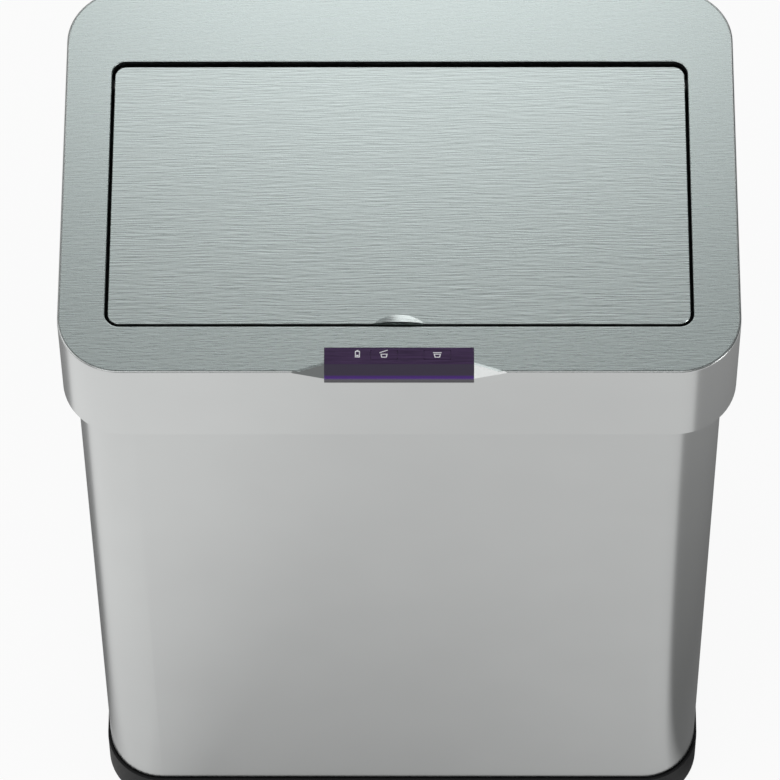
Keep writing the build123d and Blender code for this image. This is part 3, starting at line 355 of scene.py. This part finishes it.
def painted_floor_reflection(shade):
    """Painted level of the floor in metal: painted light in front, painted shadow beside and behind the bin.
    """
    floor_x, floor_y = shade.coordinates()[:2]
    away = shade.maths("SQRT", shade.maths("MULTIPLY_ADD", floor_x, floor_x, shade.times(floor_y, floor_y)))
    ahead = shade.larger(shade.maths("SUBTRACT", shade.maths("ABSOLUTE", floor_y), FOOT_HALF_DEPTH), 0.0)
    # Painted light on the floor in front and to the left, seen only in metal
    front = shade.add(shade.span(ahead, *FRONT_NEAR), shade.span(ahead, *FRONT_FAR))
    right_glow = shade.times(shade.span(floor_x, *RIGHT_GLOW), shade.span(ahead, *RIGHT_GLOW_FADE))
    front = shade.add(front, right_glow)
    reach_in = shade.maths("MULTIPLY_ADD", ahead, 0.5, 0.05)
    from_left = shade.maths("DIVIDE", shade.maths("SUBTRACT", floor_x, FOOT_LEFT), reach_in)
    left_part = shade.times(shade.span(from_left, 0.0, 1.0, 1.0, 0.0), shade.span(floor_y, *LEFT_GLOW_REACH))
    front = shade.mix_value(left_part, front, shade.span(away, *LEFT_GLOW))
    # Painted shadow on the floor beside and behind the bin, seen only in metal
    right_edge = shade.line(floor_x, floor_y, *RIGHT_LINE)
    left_edge = shade.line(floor_x, floor_y, *LEFT_LINE)
    right_painted_shadow = shade.times(shade.span(right_edge, *RIGHT_LINE_SOFT), shade.span(floor_x, *RIGHT_START))
    left_painted_shadow = shade.times(shade.span(left_edge, *LEFT_LINE_SOFT), shade.span(floor_x, *LEFT_START))
    painted_shadow = shade.larger(shade.larger(right_painted_shadow, left_painted_shadow), shade.span(floor_y, *REAR_START))
    shaded = shade.times(painted_shadow, shade.span(away, *SHADOW_FADE))
    return shade.mix_value(shaded, front, shade.span(away, *SHADOW_LEVEL))


def make_floor():
    """Pale floor, shown white to the camera, that keeps the bin's faint shadow."""
    shade = Shader("floor")
    mottle = shade.noise(shade.place(), scale=3, detail=4)
    shade.set(
        Base_Color=shade.mix(mottle, (0.80, 0.80, 0.80), (0.84, 0.84, 0.84)),
        Roughness=0.7,
        Specular_IOR_Level=0.1,
    )
    rays = shade.node("ShaderNodeLightPath").outputs
    seen = shade.times(shade.larger(rays["Is Camera Ray"], rays["Is Transmission Ray"]), CAMERA_WHITE)
    seen = shade.larger(seen, shade.times(rays["Is Glossy Ray"], GLOSSY_WHITE))
    glow = shade.node("ShaderNodeEmission")
    glow.inputs["Strength"].default_value = 1.0
    # Glossy rays see the painted shadow and light on the floor
    level = shade.mix_value(rays["Is Glossy Ray"], 1.0, painted_floor_reflection(shade))
    shade.feed(glow.inputs["Color"], level)
    output = shade.tree.nodes["Material Output"].inputs["Surface"]
    shade.feed(output, shade.blend_shaders(seen, shade.surface.outputs[0], glow.outputs[0]))
    mesh = bpy.data.meshes.new("floor")
    corners = [(x * FLOOR_REACH, y * FLOOR_REACH, 0) for x, y in ((-1, -1), (1, -1), (1, 1), (-1, 1))]
    mesh.from_pydata(corners, [], [(0, 1, 2, 3)])
    mesh.materials.append(shade.material)
    floor = bpy.data.objects.new("floor", mesh)
    floor.location.z = -FLOOR_DROP
    bpy.context.collection.objects.link(floor)


def make_surroundings():
    """Brighter to the front left, darker to the back right, white to the camera."""
    world = bpy.data.worlds.new("studio")
    bpy.context.scene.world = world
    sky = Nodes(world)
    towards_x, towards_y = sky.coordinates("Generated")[:2]
    slant = sky.maths("MULTIPLY_ADD", towards_x, SLANT_X, sky.times(towards_y, SLANT_Y))
    background = sky.tree.nodes["Background"]
    sky.feed(background.inputs["Color"], sky.mix(sky.span(slant, *SLANT_RANGE), WORLD_BRIGHT, WORLD_DARK))
    white = sky.node("ShaderNodeBackground")
    white.inputs["Color"].default_value = (1, 1, 1, 1)
    rays = sky.node("ShaderNodeLightPath").outputs
    clear = sky.larger(rays["Is Camera Ray"], rays["Is Transmission Ray"])
    output = sky.tree.nodes["World Output"].inputs["Surface"]
    sky.feed(output, sky.blend_shaders(clear, background.outputs[0], white.outputs[0]))


def softbox(name, place, target, size, radiance, tint=(1, 1, 1)):
    """Rectangular lamp whose face has a given radiance."""
    data = bpy.data.lights.new(name, "AREA")
    data.shape = "RECTANGLE"
    data.size, data.size_y = size
    data.energy = radiance * math.pi * size[0] * size[1]
    data.color = tint
    lamp = bpy.data.objects.new(name, data)
    bpy.context.collection.objects.link(lamp)
    lamp.location = place
    lamp.rotation_mode = "QUATERNION"
    lamp.rotation_quaternion = (Vector(target) - Vector(place)).to_track_quat("-Z", "Y")


def prism(shape, outline, low, high, hole=None):
    """Closed flat solid between two heights, with an optional hole that has as many corners."""
    loops = [outline] if hole is None else [outline, hole]
    rings = [[[shape.verts.new((x, y, z)) for x, y in loop] for z in (low, high)] for loop in loops]
    count = len(outline)
    for number, (under, over) in enumerate(rings):
        for index in range(count):
            after = (index + 1) % count
            wall = (under[index], under[after], over[after], over[index])
            shape.faces.new(wall if number == 0 else wall[::-1])
    if hole is None:
        shape.faces.new(rings[0][0][::-1])
        shape.faces.new(rings[0][1])
        return
    for index in range(count):
        after = (index + 1) % count
        for level in (0, 1):
            outer = rings[0][level]
            inner = rings[1][level]
            face = (outer[index], outer[after], inner[after], inner[index])
            shape.faces.new(face if level else face[::-1])


def printed(name, body, centre, parts, tilt=0.0):
    """Print on a face tilted about X: outlines in millimetres, each with its hole or None."""
    shape = bmesh.new()
    for outline, hole in parts:
        prism(shape, outline, -PRINT_SINK, PRINT_RISE, hole)
    turn = Matrix.Rotation(math.radians(tilt), 4, "X")
    onto_face = Matrix.Translation(centre) @ turn @ Matrix.Scale(MM, 4)
    bmesh.ops.transform(shape, matrix=onto_face, verts=shape.verts)
    mesh = bpy.data.meshes.new(name)
    shape.to_mesh(mesh)
    shape.free()
    mesh.materials.append(ink)
    piece = bpy.data.objects.new(name, mesh)
    bpy.context.collection.objects.link(piece)
    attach(piece, body)


def bar(left, right, low, high):
    return [(left, low), (right, low), (right, high), (left, high)]


def ring(radius, corners=24):
    steps = [2 * math.pi * index / corners for index in range(corners)]
    return [(radius * math.cos(step), radius * math.sin(step)) for step in steps]


def turned(outline, pivot, degrees):
    """Outline turned about a point."""
    angle = math.radians(degrees)
    cosine = math.cos(angle)
    sine = math.sin(angle)
    return [
        (
            pivot[0] + (x - pivot[0]) * cosine - (y - pivot[1]) * sine,
            pivot[1] + (x - pivot[0]) * sine + (y - pivot[1]) * cosine,
        )
        for x, y in outline
    ]


make_camera()
make_floor()
make_surroundings()

softbox("overhead_back", (0, 1.82, 2.36), (0, 0.1, 0.5), (0.95, 1.02), 1.45, (0.97, 1, 1))
softbox("key_left", (-2.3, 0.15, 2.4), (0, 0, 0.3), (2.0, 1.8), 1.1)
softbox("front_left", (-1.15, -2.05, 1.6), (0, 0, 0.5), (0.8, 0.7), 1.2)
softbox("edge_right", (2.2, -1.0, 1.5), (0, 0, 0.5), (0.8, 0.8), 5.0)
softbox("top_front", (-0.3, -0.9, 2.9), (0, 0, 0.3), (1.8, 1.2), 1.6)
softbox("low_back", (0.45, 2.7, 1.35), (0, 0, 0.5), (1.3, 0.8), 1.4)

# Materials of the parts from the frame
window_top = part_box("sensor_window")[1].z
plate = brushed_steel("brushed_plate", (0.64, 0.695, 0.685), (70, 1150), (30, 900), 0.13, 0.28)
lid_plate = brushed_steel("brushed_lid", (0.67, 0.724, 0.714), (45, 1150), (16, 800), 0.26, 0.28)
shell = satin_metal("satin_shell", (0.585, 0.595, 0.59), 0.22)
sleeve = satin_metal("satin_sleeve", (0.57, 0.58, 0.575), 0.22)
black = moulded("black_moulding", (0.005, 0.005, 0.0055), 0.5, gloss=0.22)
rubber = moulded("black_rubber", (0.016, 0.016, 0.016), 0.7, 900, 0.4)
board = moulded("circuit_board", (0.01, 0.09, 0.035), 0.35, 500, 0.1)
nylon = moulded("gear_nylon", (0.62, 0.60, 0.54), 0.4, 1200, 0.1)
brass = satin_metal("pinion_brass", (0.75, 0.55, 0.26), 0.25)
bright_steel = satin_metal("bright_steel", (0.62, 0.62, 0.61), 0.2)
felt = moulded("filter_felt", (0.02, 0.02, 0.022), 0.9, 700, 0.9)
jacket = moulded("cell_jacket", (0.03, 0.032, 0.04), 0.25, 300, 0.05)
gloss_black = moulded("gloss_black", (0.01, 0.01, 0.011), 0.2, 900, 0.05)
tinted = window_tint("tinted_window", window_top)
ink = moulded("pale_print", (0.78, 0.76, 0.80), 0.5, 2500, 0.02)

finishes = {
    plate: ["top_trim"],
    lid_plate: ["lid_skin"],
    shell: ["upper_housing"],
    sleeve: ["body_sleeve"],
    black: [
        "base_tray", "bag_ring", "lower_housing", "lid_tray", "filter_grille", "gearbox_plate",
        "gearbox_cover", "battery_box", "battery_door", "hinge_bushings",
    ],
    rubber: ["rubber_feet", "lid_bumpers"],
    board: ["main_board"],
    nylon: ["lid_gear", "compound_gear_low", "compound_gear_high"],
    brass: ["motor_rotor"],
    bright_steel: [
        "housing_screws", "drive_shaft", "hinge_pin", "gear_axles", "battery_contacts", "motor_can",
    ],
    felt: ["carbon_filter"],
    jacket: ["batteries"],
    gloss_black: [
        "key_switches", "dc_jack", "switch_body", "power_rocker", "ir_emitter", "ir_receiver",
        "battery_light",
    ],
    tinted: ["sensor_window", "open_key", "close_key"],
}
for material, names in finishes.items():
    for name in names:
        for slot in nodes[name].material_slots:
            slot.material = material

# Printed signs on the keys: a bin with its lid up and one with its lid down
lid = bar(-2.6, 2.6, 0.45, 1.0)
for key, sign, lid_turn in (("open_key", "open_sign", OPEN_LID_TURN), ("close_key", "close_sign", 0)):
    low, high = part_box(key)
    key_y = (low.y + high.y) / 2
    printed(sign, key, ((low.x + high.x) / 2, key_y, high.z), [
        (BIN_OUTLINE, BIN_HOLE),
        (turned(lid, lid[0], lid_turn), None),
    ])

# Battery on the window, in line with the signs on the keys
printed("battery_sign", "head", (BATTERY_SIGN_X, key_y, window_top), [
    (bar(-1.5, 1.5, -2.6, 1.9), bar(-0.95, 0.95, -2.05, 1.35)),
    (bar(-0.6, 0.6, 2.0, 2.5), None),
    (bar(-0.7, 0.7, -1.8, -0.9), None),
])

# On and off marks on the rocker: a ring on the upper face, a bar on the pressed lower face
low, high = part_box("power_rocker")
rocker_x = (low.x + high.x) / 2
upper_face = (rocker_x, high.y - UPPER_FACE_IN, high.z - UPPER_FACE_DOWN)
lower_face = (rocker_x, high.y - LOWER_FACE_IN, low.z + LOWER_FACE_UP)
printed("off_sign", "power_rocker", upper_face, [(ring(1.6), ring(1.1))], UPPER_FACE_TILT)
printed("on_sign", "power_rocker", lower_face, [(bar(-0.3, 0.3, -1.7, 1.7), None)], LOWER_FACE_TILT)

bpy.context.scene.view_settings.view_transform = "Standard"
